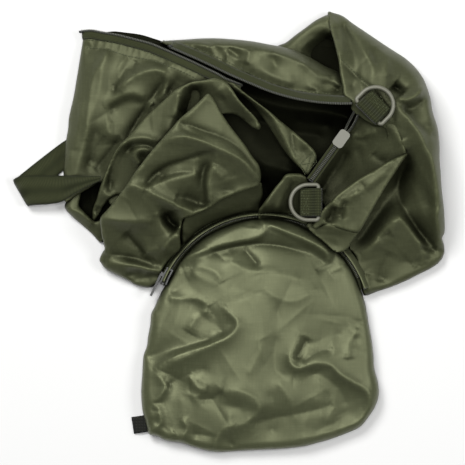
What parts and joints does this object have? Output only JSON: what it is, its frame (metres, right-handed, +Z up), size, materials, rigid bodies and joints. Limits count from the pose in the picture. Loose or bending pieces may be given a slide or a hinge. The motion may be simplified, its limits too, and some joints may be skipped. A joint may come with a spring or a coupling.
{
  "type": "rope storage bag",
  "caption": "Packable thin nylon duffel lying crumpled and open, with a carry handle, D-rings on webbing tabs, a half-open main zip and a turned-out zipped stow pouch.",
  "frame": {"origin": "on the table, under the middle of the bag's outline", "axes": "+X to the right end of the bag, +Y to its back edge (away from the stow pouch), +Z up"},
  "size_m": [0.384, 0.3899, 0.068],
  "materials": {
    "nylon": "satin olive nylon",
    "webbing": "woven olive webbing",
    "zip_tape": "dark olive woven tape",
    "zip_coil": "black coil",
    "ring_metal": "matte grey plated steel",
    "slider_metal": "bare nickel-plated",
    "dark_metal": "dark olive painted zinc",
    "label": "blank black woven label"
  },
  "bodies": {
    "bag": {"bottom_panel": "nylon", "top_panel": "nylon", "front_panel": "nylon", "back_panel": "nylon", "left_end_panel": "nylon", "right_end_panel": "nylon", "side_gusset": "nylon", "mouth_facing": "nylon", "main_zip_tape_front": "zip_tape", "main_zip_tape_back": "zip_tape", "main_zip_coil_front": "zip_coil", "main_zip_coil_back": "zip_coil", "main_zip_stops": "slider_metal", "ring_tab_upper": "webbing", "ring_tab_lower": "webbing", "handle_sewn_ends": "webbing", "pouch_hem_band": "nylon"},
    "upper_ring": {"d_ring_upper": "ring_metal"},
    "lower_ring": {"d_ring_lower": "ring_metal"},
    "handle": {"carry_handle": "webbing"},
    "main_slider": {"main_zip_slider": "slider_metal"},
    "main_puller": {"main_zip_puller": "slider_metal"},
    "pouch": {"pouch_front_panel": "nylon", "pouch_back_panel": "nylon", "pouch_zip_tape": "zip_tape", "pouch_zip_coil": "zip_coil", "pouch_zip_stops": "dark_metal"},
    "pouch_slider": {"pouch_zip_slider": "dark_metal"},
    "pouch_puller": {"pouch_zip_puller": "dark_metal"},
    "label": {"side_label": "label"}
  },
  "joints": [
    {"name": "upper_ring_swing", "type": "hinge", "parent": "bag", "child": "upper_ring", "pos_m": [0.121, 0.1045, 0.0626], "axis": [0.7071, -0.7071, 0], "range_deg": [0, 150]},
    {"name": "lower_ring_swing", "type": "hinge", "parent": "bag", "child": "lower_ring", "pos_m": [0.0785, 0.0265, 0.0386], "axis": [0, 1, 0], "range_deg": [0, 150]},
    {"name": "handle_swing", "type": "hinge", "parent": "bag", "child": "handle", "pos_m": [-0.1474, 0.038, 0.0128], "axis": [0, 1, 0], "range_deg": [0, 90]},
    {"name": "main_zip_run", "type": "slide", "parent": "bag", "child": "main_slider", "axis": [0.585, 0.811, 0], "range_m": [-0.034, 0]},
    {"name": "main_puller_swing", "type": "hinge", "parent": "main_slider", "child": "main_puller", "pos_m": [0.0986, 0.0823, 0.0312], "axis": [-0.811, 0.585, 0], "range_deg": [-30, 0]},
    {"name": "pouch_fold", "type": "hinge", "parent": "bag", "child": "pouch", "pos_m": [0.03, 0.017, 0.042], "axis": [-1, 0, 0], "range_deg": [0, 110]},
    {"name": "pouch_zip_run", "type": "hinge", "parent": "pouch", "child": "pouch_slider", "pos_m": [0.03, -0.079, 0.013], "axis": [0, 0, 1], "range_deg": [-130, 0]},
    {"name": "pouch_puller_swing", "type": "hinge", "parent": "pouch_slider", "child": "pouch_puller", "pos_m": [-0.0596, -0.03665, 0.013], "axis": [0, 0, 1], "range_deg": [-70, 0]},
    {"name": "label_fold", "type": "hinge", "parent": "pouch", "child": "label", "pos_m": [-0.07345, -0.17, 0.0019], "axis": [-0.1516, 0.9884, 0], "range_deg": [0, 90]}
  ]
}
